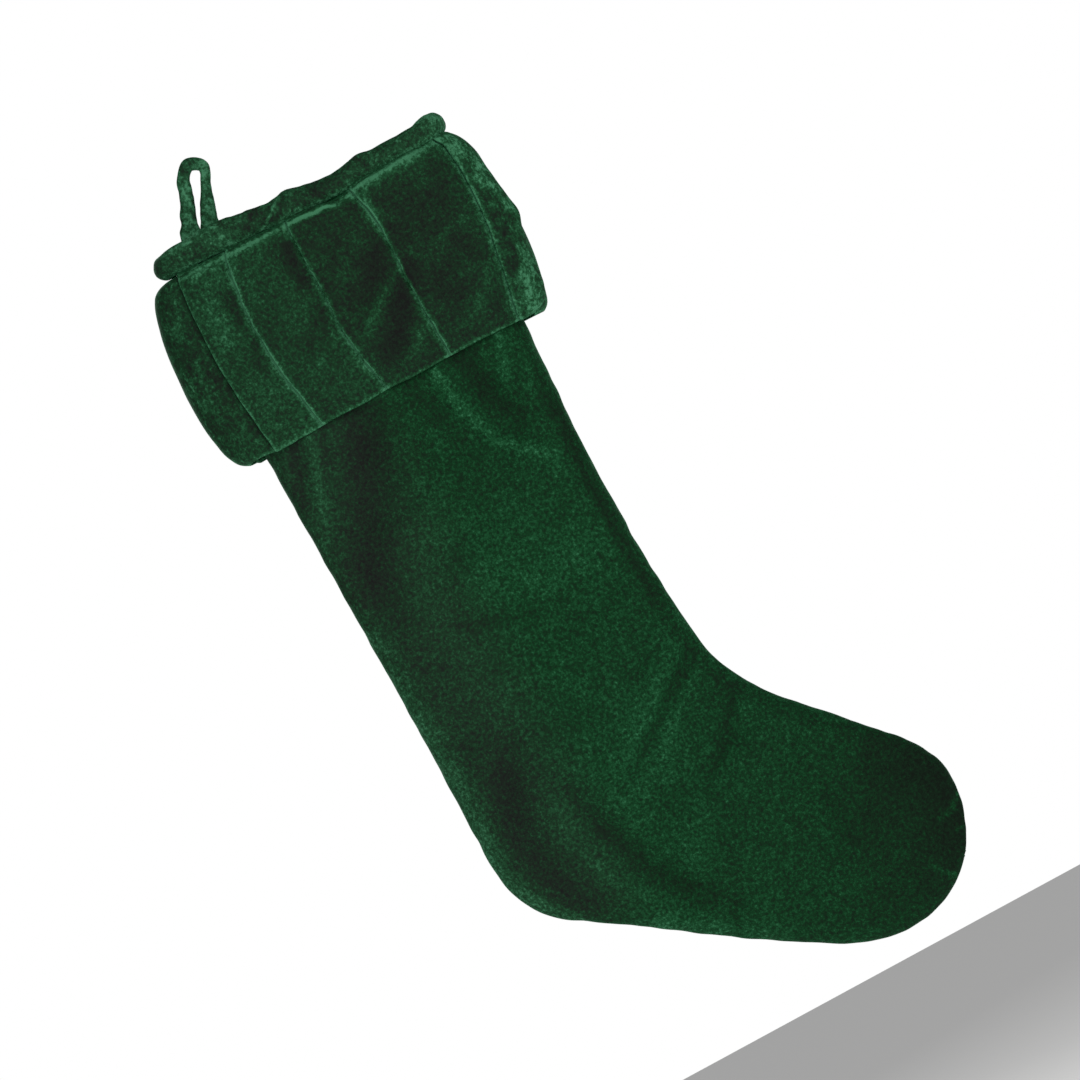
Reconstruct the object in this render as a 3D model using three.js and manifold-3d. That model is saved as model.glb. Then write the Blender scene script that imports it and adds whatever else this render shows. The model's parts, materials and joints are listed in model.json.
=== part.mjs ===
// A velvet hanging stocking with a knife-pleated cuff, a stuffed band round its mouth and a hanging loop.
// Millimetres, +Z up, +X towards the toe, +Y towards the wall that it hangs on.
// It is drawn with z = 0 a little above the band. The finished group is then moved so that its origin
// is the hook's seat, under the crown of the loop.
import * as THREE from 'three';
import { mergeVertices } from 'three/addons/utils/BufferGeometryUtils.js';
import Module from 'manifold-3d';

const wasm = await Module();
wasm.setup();

// ---------------------------------------------------------------- driving dimensions

const GAP = 0.4; // between pieces that touch
const FRONT = -1; // the sign of y
const BACK = 1;

const SHELL_THICK = 1.6; // cut velvet with its pile
const LINING_THICK = 1.0;
const SEAM_ALLOWANCE = 8; // the shell's edges turned in at the side seams, so the lining is that much narrower
const PANEL_TOP = -23; // top edge of the shell and the lining, under the band
const THREAD_RADIUS = 0.6;

const MOUTH = { centreX: 103.3, halfWidth: 80.5, halfDepth: 15, power: 3.2 };
const BAND = { level: -15.2, high: 14.5, thick: 12, wall: 1.6 };

const CUFF = { power: 3, thick: 1.8, liningThick: 1.2 };
const PLEAT_PITCH = CUFF.thick + GAP; // from one layer of a pleat to the next
const PLEAT_FOLDS = [26.5, 53, 92.5, 133, 180]; // x of the front's outer folds
const PLEAT_UNDERLAP = 15;

const LOOP = { planeY: 4, wide: 6, thick: 3.5, pivotZ: -6, clear: 2.2 };

// ---------------------------------------------------------------- materials

const cloth = (colour, roughness) => new THREE.MeshStandardMaterial({ color: colour, roughness, metalness: 0 });
const VELVET = () => cloth(0x17401f, 0.95);
const LINING = () => cloth(0x1d4a2a, 0.6);
const THREAD = () => cloth(0x2c6b3c, 0.7);
const WADDING = () => cloth(0xe8e6df, 1.0);

// ---------------------------------------------------------------- geometry helpers

function solidOf(geometry) {
  const bare = new THREE.BufferGeometry().setAttribute('position', geometry.getAttribute('position'));
  if (geometry.index) bare.setIndex(geometry.index);
  const merged = mergeVertices(bare, 1e-3);
  const mesh = new wasm.Mesh({
    numProp: 3,
    vertProperties: merged.attributes.position.array,
    triVerts: new Uint32Array(merged.index.array),
  });
  return new wasm.Manifold(mesh);
}

function geometryOf(solid) {
  const mesh = solid.getMesh();
  const geometry = new THREE.BufferGeometry();
  geometry.setAttribute('position', new THREE.BufferAttribute(new Float32Array(mesh.vertProperties), 3));
  geometry.setIndex(new THREE.BufferAttribute(new Uint32Array(mesh.triVerts), 1));
  geometry.computeVertexNormals();
  return geometry;
}

// The triangles that close a ring of points, all turned the same way as the ring, or all against it.
function capOf(ring, alongRing) {
  const contour = ring.map((p) => new THREE.Vector2(p.x, p.y));
  const turn = (points) => Math.sign(THREE.ShapeUtils.area(points));
  const faces = THREE.ShapeUtils.triangulateShape(contour, []);
  return faces.map(([a, b, c]) => {
    const isAlong = turn([contour[a], contour[b], contour[c]]) === turn(contour);
    return isAlong === alongRing ? [a, b, c] : [c, b, a];
  });
}

// Joins rings of points, each below the last, into a closed solid that ends in a cap or in an apex.
function loft(rings, apex) {
  const count = rings[0].length;
  const points = rings.flat();
  const faces = capOf(rings[0], false).flat();
  const last = (rings.length - 1) * count;
  for (let start = 0; start < last; start += count) {
    for (let j = 0; j < count; j++) {
      const a = start + j;
      const b = start + ((j + 1) % count);
      faces.push(a, b, a + count, b, b + count, a + count);
    }
  }
  if (apex) {
    points.push(apex);
    for (let j = 0; j < count; j++) {
      faces.push(last + j, last + ((j + 1) % count), points.length - 1);
    }
  } else {
    faces.push(...capOf(rings.at(-1), true).flat().map((i) => i + last));
  }
  const geometry = new THREE.BufferGeometry().setFromPoints(points);
  const solid = solidOf(geometry.setIndex(faces));
  return solid.volume() > 0 ? solid : solidOf(geometry.setIndex(faces.reverse()));
}

// A ring of points round an oval.
function ovalRing(radiusX, radiusY, sides, Type = THREE.Shape) {
  const points = Array.from({ length: sides }, (_, i) => {
    const angle = (2 * Math.PI * (i + 0.5)) / sides;
    return new THREE.Vector2(radiusX * Math.cos(angle), radiusY * Math.sin(angle));
  });
  return new Type(points);
}

// A bar of oval section along a flat curve, with a bore through it if it has a wall.
function bar(curve, offPlane, inPlane, sides, steps, wall = 0) {
  const section = ovalRing(offPlane / 2, inPlane / 2, sides);
  if (wall) section.holes.push(ovalRing(offPlane / 2 - wall, inPlane / 2 - wall, sides, THREE.Path));
  return new THREE.ExtrudeGeometry(section, { steps, bevelEnabled: false, extrudePath: curve });
}

const thread = (curve, steps) => bar(curve, 2 * THREAD_RADIUS, 2 * THREAD_RADIUS, 4, steps);

const halfSpace = (side) =>
  solidOf(new THREE.BoxGeometry(900, 400, 1400).translate(0, side * (200 + GAP / 2), 0));

// Evenly spaced values.
const between = (from, to, count) =>
  Array.from({ length: count }, (_, i) => THREE.MathUtils.lerp(from, to, i / (count - 1)));

const signedPower = (value, power) => Math.sign(value) * Math.abs(value) ** power;

// A point of a squared oval.
const ovalPoint = (halfWidth, halfDepth, power, angle) =>
  new THREE.Vector2(
    halfWidth * signedPower(Math.cos(angle), 2 / power),
    halfDepth * signedPower(Math.sin(angle), 2 / power),
  );

// ---------------------------------------------------------------- leg and foot

// Each side of the outline in four stretches: leg, heel or ankle, sole or instep, toe.
const stretch = (...points) => new THREE.CubicBezierCurve(...points.map(([x, z]) => new THREE.Vector2(x, z)));
const HEEL_SIDE = [
  stretch([23, PANEL_TOP], [20, -140], [25.5, -260], [23.2, -368]),
  stretch([23.2, -368], [23, -395], [33, -411], [52, -422]),
  stretch([52, -422], [85, -443], [122, -472], [157, -492]),
  stretch([157, -492], [185, -511], [222, -516], [246, -486]),
];
const TOE_SIDE = [
  stretch([183.6, PANEL_TOP], [178, -130], [166, -220], [178, -322]),
  stretch([178, -322], [180, -338], [192, -357], [206, -372]),
  stretch([206, -372], [220, -387], [236, -404], [250, -420]),
  stretch([250, -420], [263, -436], [265, -462], [246, -486]),
];
const TIP = TOE_SIDE.at(-1).getPoint(1);
const HALF_DEPTHS = [MOUTH.halfDepth, 15, 15.5, 14, 0]; // where the stretches meet
const POWERS = [MOUTH.power, 2.5, 2.3, 2.1, 2];

// One cross-section of the stocking: a chord from the heel side to the toe side, with its depth.
function station(part, t) {
  const heel = HEEL_SIDE[part].getPoint(t);
  const toe = TOE_SIDE[part].getPoint(t);
  const chord = toe.clone().sub(heel);
  const depthShare = part === HEEL_SIDE.length - 1 ? 1 - Math.sqrt(1 - t * t) : t; // the toe ends round
  return {
    centre: heel.clone().add(toe).multiplyScalar(0.5),
    halfWidth: chord.length() / 2,
    across: chord.normalize(),
    halfDepth: THREE.MathUtils.lerp(HALF_DEPTHS[part], HALF_DEPTHS[part + 1], depthShare),
    power: THREE.MathUtils.lerp(POWERS[part], POWERS[part + 1], t),
  };
}

// Cross-sections all along the stocking, except in the end of the toe, where they get too narrow.
const stations = (counts, leastHalfWidth) =>
  counts
    .flatMap((count, part) => Array.from({ length: count }, (_, i) => station(part, i / count)))
    .filter((s) => s.halfWidth > leastHalfWidth);

// The toe's end, some way back from the tip.
function toeEnd(places, inset) {
  const towardsTip = TIP.clone().sub(places.at(-1).centre).normalize();
  const point = TIP.clone().addScaledVector(towardsTip, -inset);
  return new THREE.Vector3(point.x, 0, point.y);
}

// The stocking's outer form made smaller all round, as a solid. The inner one also reaches out of the mouth.
function sockSolid(places, sides, [insetWidth, insetDepth], isInner) {
  const rings = places.map((s) =>
    Array.from({ length: sides }, (_, j) => {
      const angle = (2 * Math.PI * j) / sides;
      const p = ovalPoint(s.halfWidth - insetWidth, s.halfDepth - insetDepth, s.power, angle);
      return new THREE.Vector3(s.centre.x + s.across.x * p.x, p.y, s.centre.y + s.across.y * p.x);
    }),
  );
  if (isInner) rings.unshift(rings[0].map((p) => p.clone().setZ(PANEL_TOP + 10)));
  return loft(rings, toeEnd(places, insetWidth));
}

// The front or back half of the wall between two such forms.
function panel(places, sides, outer, inner, side) {
  const wall = sockSolid(places, sides, outer, false).subtract(sockSolid(places, sides, inner, true));
  return geometryOf(wall.intersect(halfSpace(side)));
}

function shellPanel(side) {
  return panel(stations([5, 5, 3, 6], 12), 20, [0, 0], [SHELL_THICK, SHELL_THICK], side);
}

function liningPanel(side) {
  const outer = [SEAM_ALLOWANCE, SHELL_THICK + GAP];
  const inner = outer.map((inset) => inset + LINING_THICK);
  return panel(stations([4, 4, 2, 4], 30), 14, outer, inner, side);
}

// The stitches that join the panels: down the heel side, round the toe and up the instep.
function sideSeam() {
  const inset = SEAM_ALLOWANCE * 0.45;
  const places = stations([5, 4, 3, 4], 30);
  const along = (s, sign) => {
    const p = s.centre.clone().addScaledVector(s.across, sign * (s.halfWidth - inset));
    return new THREE.Vector3(p.x, 0, p.y);
  };
  const heelSide = places.map((s) => along(s, -1));
  const toeSide = places.map((s) => along(s, 1)).reverse();
  return thread(new THREE.CatmullRomCurve3([...heelSide, toeEnd(places, inset), ...toeSide]), 40);
}

// ---------------------------------------------------------------- mouth

// A little over half of an oval round the mouth, some way out from the panels' outer face.
function mouthCurve(out, level, side) {
  const points = between(Math.PI + 0.12, -0.12, 23).map((angle) => {
    const p = ovalPoint(MOUTH.halfWidth + out, MOUTH.halfDepth + out, MOUTH.power, angle);
    return new THREE.Vector3(MOUTH.centreX + p.x, side * p.y, level);
  });
  return new THREE.CatmullRomCurve3(points, false, 'centripetal');
}

const MOUTH_STEPS = 17;
const halfOf = (geometry, side) => geometryOf(solidOf(geometry).intersect(halfSpace(side)));

function bandCover(side) {
  return halfOf(bar(mouthCurve(0, BAND.level, side), BAND.high, BAND.thick, 8, MOUTH_STEPS, BAND.wall), side);
}

function bandFiller(side) {
  const inset = 2 * (BAND.wall + GAP);
  const curve = mouthCurve(0, BAND.level, side);
  return halfOf(bar(curve, BAND.high - inset, BAND.thick - inset, 6, MOUTH_STEPS), side);
}

function mouthSeam(side) {
  return halfOf(thread(mouthCurve(1.4, PANEL_TOP - 3, side), MOUTH_STEPS), side);
}

// ---------------------------------------------------------------- cuff

// The cuff at several heights: z, its heel and toe sides, and the half depth inside the pleats.
const CUFF_ROWS = [
  [-23.5, 13, 190.5, 19.6],
  [-31, 7.5, 195, 20.6],
  [-50, 2.4, 199.5, 21.8],
  [-80, 0.3, 201.2, 22.1],
  [-106, 1.8, 199.5, 21.4],
  [-121, 6.5, 194, 20.2],
  [-127, 13.5, 189.5, 19.4],
].map(([z, heelX, toeX, halfDepth]) => ({
  z,
  halfDepth,
  centreX: (heelX + toeX) / 2,
  halfWidth: (toeX - heelX) / 2 - PLEAT_PITCH - CUFF.thick,
}));

// A point that stands out from the cuff's inner form. The front runs from the heel side to the toe side.
function cuffPoint(row, angle, standOff) {
  const flat = ovalPoint(row.halfWidth, row.halfDepth, CUFF.power, angle);
  const normal = new THREE.Vector2(
    signedPower(flat.x / row.halfWidth, CUFF.power - 1) / row.halfWidth,
    signedPower(flat.y / row.halfDepth, CUFF.power - 1) / row.halfDepth,
  ).normalize();
  return flat.addScaledVector(normal, standOff).add(new THREE.Vector2(row.centreX, 0));
}

// The angle on a row's front where x has some value.
function frontAngle(row, x) {
  const share = (x - row.centreX) / row.halfWidth;
  return -Math.acos(signedPower(THREE.MathUtils.clamp(share, -0.99, 0.99), CUFF.power / 2));
}

// The pleats' run between the two sides, as [x, layer]. Layer 0 lies on the cuff's lining, layer 2 is outermost.
function pleatRun() {
  const run = [];
  PLEAT_FOLDS.forEach((fold, i) => {
    const tuckEnd = fold + PLEAT_UNDERLAP;
    const next = PLEAT_FOLDS[i + 1];
    if (i === PLEAT_FOLDS.length - 1) run.push([fold, 0], [fold, 1]);
    else run.push([tuckEnd, 0], [tuckEnd, 1], [fold, 1], [fold, 2], [tuckEnd + 2, 2]);
    if (next) run.push([next - 3, 0.1]);
  });
  return run;
}

// A ring round a line of points, half a thickness to each side of it, mitred at its corners.
function thicken(line, thick) {
  const normals = line.slice(1).map((p, i) => {
    const d = p.clone().sub(line[i]).normalize();
    return new THREE.Vector2(-d.y, d.x);
  });
  const offset = (sign) =>
    line.map((p, i) => {
      const before = normals[Math.max(i - 1, 0)];
      const after = normals[Math.min(i, normals.length - 1)];
      const mitre = before.clone().add(after).normalize();
      return p.clone().addScaledVector(mitre, (sign * thick) / 2 / mitre.dot(before));
    });
  return [...offset(1), ...offset(-1).reverse()];
}

// Half of the cuff, made of one strip. Its line is a list of [angle, layer] for a row.
function cuffStrip(rows, lineOf, thick, standOff, side) {
  const turn = side === FRONT ? 0 : Math.PI;
  const rings = rows.map((row) => {
    const line = lineOf(row).map(([angle, layer]) =>
      cuffPoint(row, angle + turn, standOff + layer * PLEAT_PITCH + thick / 2),
    );
    return thicken(line, thick).map((p) => new THREE.Vector3(p.x, p.y, row.z));
  });
  return geometryOf(loft(rings).intersect(halfSpace(side)));
}

const PAST_SIDE = 0.03; // radians beyond the side, where the strip is cut

function pleatedHalf(side) {
  const lineOf = (row) => {
    const run = pleatRun().map(([x, layer]) => [frontAngle(row, x), layer]);
    const heelWrap = between(-Math.PI - PAST_SIDE, run[0][0], 6).slice(0, -1);
    const toeWrap = between(run.at(-1)[0], PAST_SIDE, 5).slice(1);
    const rise = (i) => Math.max(0, 1 - i / 4); // the wraps stand out at the sides
    return [...heelWrap.map((a, i) => [a, rise(i)]), ...run, ...toeWrap.map((a) => [a, 1])];
  };
  return cuffStrip(CUFF_ROWS, lineOf, CUFF.thick, 0, side);
}

// The lining starts below the mouth seam, which it would rub on as the cuff lifts.
function liningHalf(side) {
  const lineOf = () => between(-Math.PI - PAST_SIDE, PAST_SIDE, 14).map((angle) => [angle, 0]);
  return cuffStrip(CUFF_ROWS.slice(1), lineOf, CUFF.liningThick, -GAP - CUFF.liningThick, side);
}

// ---------------------------------------------------------------- loop

// The middle of the folded velvet strip, up one leg, over the crown and down the other.
const LOOP_ROUTE = [
  [41.5, -9], [46.4, 4], [51, 15.5], [54.2, 24.6], [61.3, 29.4], [66.2, 22.6], [62.3, 13], [58.3, 3], [53.5, -9],
].map(([x, z]) => new THREE.Vector3(x, LOOP.planeY, z));
const LOOP_CURVE = new THREE.CatmullRomCurve3(LOOP_ROUTE, false, 'centripetal');

// The hook's seat: the middle of the hole's upper end.
const crown = LOOP_CURVE.getSpacedPoints(200).reduce((best, p) => (p.z > best.z ? p : best));
const SEAT = new THREE.Vector3(crown.x, LOOP.planeY, crown.z - LOOP.wide / 2);

function loopArch() {
  const above = solidOf(new THREE.BoxGeometry(200, 200, 200).translate(60, 0, 100 + LOOP.pivotZ + LOOP.clear));
  return geometryOf(solidOf(bar(LOOP_CURVE, LOOP.thick, LOOP.wide, 8, 22)).intersect(above));
}

// A sewn-in end of the strip: it goes down behind the band and lies against the lining.
function loopEnd(topX) {
  const places = [
    [topX, LOOP.planeY, LOOP.pivotZ - LOOP.clear],
    [topX - 0.9, LOOP.planeY, -14],
    [topX - 1.5, LOOP.planeY + 0.3, -21],
    [topX - 1.8, LOOP.planeY + 1.2, -28],
    [topX - 2, LOOP.planeY + 1.5, -35],
  ];
  const section = ovalRing(LOOP.wide / 2, LOOP.thick / 2, 8).getPoints().slice(0, 8);
  return geometryOf(loft(places.map(([x, y, z]) => section.map((p) => new THREE.Vector3(x + p.x, y + p.y, z)))));
}

// The zigzag of stitches that holds both ends.
function loopTack() {
  const turns = 7;
  const points = Array.from({ length: turns }, (_, i) => {
    return new THREE.Vector3(36.5 + (19 * i) / (turns - 1), LOOP.planeY - 1.6, -31 + (i % 2 ? 1.6 : -1.6));
  });
  return thread(new THREE.CatmullRomCurve3(points), 18);
}

// ---------------------------------------------------------------- assembly

const hangingStocking = new THREE.Group();
hangingStocking.name = 'hanging_stocking';
const drawing = new THREE.Group();
drawing.position.copy(SEAT).negate();
hangingStocking.add(drawing);

function add(name, geometry, material) {
  const mesh = new THREE.Mesh(geometry, material);
  mesh.name = name;
  drawing.add(mesh);
}

for (const [half, side] of [['front', FRONT], ['back', BACK]]) {
  add(`shell_${half}`, shellPanel(side), VELVET());
  add(`lining_${half}`, liningPanel(side), LINING());
  add(`mouth_band_${half}`, bandCover(side), VELVET());
  add(`band_filler_${half}`, bandFiller(side), WADDING());
  add(`mouth_seam_${half}`, mouthSeam(side), THREAD());
  add(`cuff_pleats_${half}`, pleatedHalf(side), VELVET());
  add(`cuff_lining_${half}`, liningHalf(side), LINING());
}
add('side_seam', sideSeam(), THREAD());
add('hanging_loop', loopArch(), VELVET());
add('loop_end_heel_side', loopEnd(41.8), VELVET());
add('loop_end_toe_side', loopEnd(53.8), VELVET());
add('loop_tack', loopTack(), THREAD());

export default hangingStocking;
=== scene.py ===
import json
import math

import bmesh
import bpy
import numpy as np
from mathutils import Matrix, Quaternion, Vector


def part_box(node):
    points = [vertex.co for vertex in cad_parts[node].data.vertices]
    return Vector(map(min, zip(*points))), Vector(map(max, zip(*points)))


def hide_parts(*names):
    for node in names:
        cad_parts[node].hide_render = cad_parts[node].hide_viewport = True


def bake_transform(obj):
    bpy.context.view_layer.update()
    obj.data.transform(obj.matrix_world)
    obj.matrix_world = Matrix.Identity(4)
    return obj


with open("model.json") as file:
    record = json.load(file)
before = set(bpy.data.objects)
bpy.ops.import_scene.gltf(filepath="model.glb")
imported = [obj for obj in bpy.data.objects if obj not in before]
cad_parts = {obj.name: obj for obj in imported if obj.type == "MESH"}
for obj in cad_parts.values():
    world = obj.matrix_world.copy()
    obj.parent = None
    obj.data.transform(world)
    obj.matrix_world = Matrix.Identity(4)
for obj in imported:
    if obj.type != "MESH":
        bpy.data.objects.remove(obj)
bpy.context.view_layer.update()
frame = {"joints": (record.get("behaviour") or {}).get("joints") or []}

# ------------------------------------------------------------------ the drawing and the frame

SEAT = np.array((0.0608, 0.0040, 0.0264))  # the row's origin, in the drawing
PANEL_TOP = -0.023  # top of the shell, in the drawing
ROW = np.array((0.0, 0.0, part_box("shell_front")[1].z - PANEL_TOP)) - np.array((SEAT[0], SEAT[1], 0.0))

FRONT_SPAN = 0.010  # a span either side of the side seams
PIECES_SEED = 7


def smooth(t):
    t = np.clip(t, 0.0, 1.0)
    return t * t * (3.0 - 2.0 * t)


def curve_through(points):
    """A function that eases through (position, value) pairs."""
    xs, ys = np.array(points, float).T
    order = np.argsort(xs)
    xs, ys = xs[order], ys[order]
    slopes = np.gradient(ys, xs)

    def value(x):
        x = np.clip(x, xs[0], xs[-1])
        i = np.clip(np.searchsorted(xs, x) - 1, 0, len(xs) - 2)
        h = xs[i + 1] - xs[i]
        t = (x - xs[i]) / h
        return (
            ys[i] * (1 + 2 * t) * (1 - t) ** 2
            + slopes[i] * h * t * (1 - t) ** 2
            + ys[i + 1] * t * t * (3 - 2 * t)
            - slopes[i + 1] * h * t * t * (1 - t)
        )

    return value


# ------------------------------------------------------------------ smooth noise in numpy

LATTICE_SIDE = 32
LATTICE = np.random.default_rng(PIECES_SEED).uniform(-1.0, 1.0, (LATTICE_SIDE,) * 3)
LATTICE_SHIFT = 11.3  # keeps the noise of the drawing's origin off a lattice point


def noise(points, scale, offset=0.0):
    """Smooth noise from -1 to 1 at points, with lumps of about one scale."""
    q = np.asarray(points) / scale + LATTICE_SHIFT + offset
    cell = np.floor(q).astype(int)
    f = q - cell
    f = f * f * (3.0 - 2.0 * f)
    total = 0.0
    for dx in (0, 1):
        for dy in (0, 1):
            for dz in (0, 1):
                weight = (
                    (f[..., 0] if dx else 1 - f[..., 0])
                    * (f[..., 1] if dy else 1 - f[..., 1])
                    * (f[..., 2] if dz else 1 - f[..., 2])
                )
                corner = (cell + (dx, dy, dz)) % LATTICE_SIDE
                total = total + weight * LATTICE[corner[..., 0], corner[..., 1], corner[..., 2]]
    return total


def ridge(points, route, width):
    """1 along a route drawn in x and z, falling away over a width. It dies away towards the route's end."""
    p = np.asarray(points)[..., (0, 2)]
    route = np.array(route, float)
    lengths = np.linalg.norm(np.diff(route, axis=0), axis=1)
    starts = np.concatenate(([0.0], np.cumsum(lengths)))
    best = np.full(p.shape[:-1], 1e9)
    along = np.zeros(p.shape[:-1])
    for a, b, length, start in zip(route[:-1], route[1:], lengths, starts):
        t = np.clip(((p - a) @ (b - a)) / length**2, 0, 1)
        distance = np.linalg.norm(p - (a + t[..., None] * (b - a)), axis=-1)
        nearer = distance < best
        best = np.where(nearer, distance, best)
        along = np.where(nearer, (start + t * length) / starts[-1], along)
    ends = smooth(along / 0.08) * smooth((1 - along) / 0.35)
    return np.exp(-((best / width) ** 2)) * ends


# ------------------------------------------------------------------ meshes

def grid_object(name, points, closed, attributes=None, cap_last=False):
    """A mesh from rows of points. attributes holds a value for each point under each name."""
    rows, cols = points.shape[:2]
    mesh = bpy.data.meshes.new(name)
    turns = cols if closed else cols - 1
    faces = []
    for r in range(rows - 1):
        for c in range(turns):
            d = (c + 1) % cols
            faces.append((r * cols + c, r * cols + d, (r + 1) * cols + d, (r + 1) * cols + c))
    if cap_last:
        faces.append(tuple((rows - 1) * cols + c for c in range(cols))[::-1])
    mesh.from_pydata((points + ROW).reshape(-1, 3).tolist(), [], faces)
    for key, values in (attributes or {}).items():
        write_values(mesh, key, values)
    piece = bpy.data.objects.new(name, mesh)
    bpy.context.scene.collection.objects.link(piece)
    for polygon in mesh.polygons:
        polygon.use_smooth = True
    return piece


def apply_modifiers(piece):
    graph = bpy.context.evaluated_depsgraph_get()
    mesh = bpy.data.meshes.new_from_object(piece.evaluated_get(graph), depsgraph=graph)
    old = piece.data
    piece.modifiers.clear()
    piece.data = mesh
    bpy.data.meshes.remove(old)


def coordinates(mesh):
    places = np.empty(len(mesh.vertices) * 3)
    mesh.vertices.foreach_get("co", places)
    return places.reshape(-1, 3)


SIMULATION_FRAMES = 20
SIMULATION_QUALITY = 5
CLOTH_MASS = 0.3
STRETCH_STIFFNESS = 15.0
SHEAR_STIFFNESS = 5.0


def settle(piece, held, pressure, growth, cap, bending, limit=None):
    """Lets a piece swell and crease as cloth. held is 1 where it is sewn down.

    Nothing moves as far as cap. limit changes the moves of the points before that.
    """
    start = coordinates(piece.data)
    group = piece.vertex_groups.new(name="held")
    for index, weight in enumerate(np.ravel(held)):
        group.add([index], float(weight), "REPLACE")
    cloth = piece.modifiers.new("cloth", "CLOTH")
    cloth.point_cache.frame_end = SIMULATION_FRAMES
    settings = cloth.settings
    settings.quality = SIMULATION_QUALITY
    settings.mass = CLOTH_MASS
    settings.tension_stiffness = STRETCH_STIFFNESS
    settings.compression_stiffness = STRETCH_STIFFNESS
    settings.shear_stiffness = SHEAR_STIFFNESS
    settings.bending_stiffness = bending
    settings.use_pressure = True
    settings.uniform_pressure_force = pressure
    settings.shrink_min = -growth
    settings.vertex_group_mass = "held"
    settings.effector_weights.gravity = 0.0
    scene = bpy.context.scene
    for frame_number in range(1, SIMULATION_FRAMES + 1):
        scene.frame_set(frame_number)
    graph = bpy.context.evaluated_depsgraph_get()
    moved = coordinates(piece.evaluated_get(graph).data) - start
    piece.modifiers.clear()
    piece.vertex_groups.clear()
    scene.frame_set(1)
    if limit is not None:
        moved = limit(start, moved)
    length = np.linalg.norm(moved, axis=1, keepdims=True)
    places = start + moved / (1.0 + length / cap)
    piece.data.vertices.foreach_set("co", places.ravel())
    piece.data.update()


def thicken(piece, thickness, offset=-1.0):
    solid = piece.modifiers.new("thick", "SOLIDIFY")
    solid.thickness = thickness
    solid.offset = offset
    solid.use_even_offset = False
    apply_modifiers(piece)


def subdivide(piece, levels=1):
    finer = piece.modifiers.new("finer", "SUBSURF")
    finer.levels = levels
    finer.render_levels = levels
    apply_modifiers(piece)


def read_values(mesh, name):
    values = np.empty(len(mesh.vertices), np.float32)
    mesh.attributes[name].data.foreach_get("value", values)
    return values


def write_values(mesh, name, values):
    layer = mesh.attributes.get(name) or mesh.attributes.new(name, "FLOAT", "POINT")
    layer.data.foreach_set("value", np.asarray(values, np.float32).ravel())


def mark_rest(piece):
    """Keeps each point's place at rest, so that a pattern stays on the cloth as it moves."""
    mesh = piece.data
    places = np.empty(len(mesh.vertices) * 3, np.float32)
    mesh.vertices.foreach_get("co", places)
    layer = mesh.attributes.new("rest", "FLOAT_VECTOR", "POINT")
    layer.data.foreach_set("vector", places)


def finish_piece(piece, material, slot, nodes, bodies, start, end):
    mark_rest(piece)
    piece.data.materials.clear()
    piece.data.materials.append(material)
    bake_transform(piece)
    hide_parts(*nodes)


BACK_TO_FRONT = (("back", "front"), np.array((0, FRONT_SPAN, 0)), np.array((0, -FRONT_SPAN, 0)))

# ------------------------------------------------------------------ folds of the cloth and their painted light and shade


def add_folds(points, folds):
    """Raises the cloth along folds and paints light and shade along them. Gives the height to add and the
    painted lightness to add.
    """
    height = np.zeros(points.shape[:-1])
    light = np.zeros(points.shape[:-1])
    for route, width, rise, painted_lightness in folds:
        strength = ridge(points, route, width)
        height += rise * strength
        light += painted_lightness * strength
    return height, light


# ------------------------------------------------------------------ leg and foot

HALF_DEPTHS = (0.015, 0.015, 0.0155, 0.014, 0.0)
POWERS = (3.2, 2.5, 2.3, 2.1, 2.0)
HEEL_SIDE = (
    ((0.023, PANEL_TOP), (0.020, -0.140), (0.0255, -0.260), (0.0232, -0.368)),
    ((0.0232, -0.368), (0.023, -0.395), (0.033, -0.411), (0.052, -0.422)),
    ((0.052, -0.422), (0.085, -0.443), (0.122, -0.472), (0.157, -0.492)),
    ((0.157, -0.492), (0.185, -0.511), (0.222, -0.516), (0.246, -0.486)),
)
TOE_SIDE = (
    ((0.1836, PANEL_TOP), (0.178, -0.130), (0.166, -0.220), (0.178, -0.322)),
    ((0.178, -0.322), (0.180, -0.338), (0.192, -0.357), (0.206, -0.372)),
    ((0.206, -0.372), (0.220, -0.387), (0.236, -0.404), (0.250, -0.420)),
    ((0.250, -0.420), (0.263, -0.436), (0.265, -0.462), (0.246, -0.486)),
)
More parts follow.
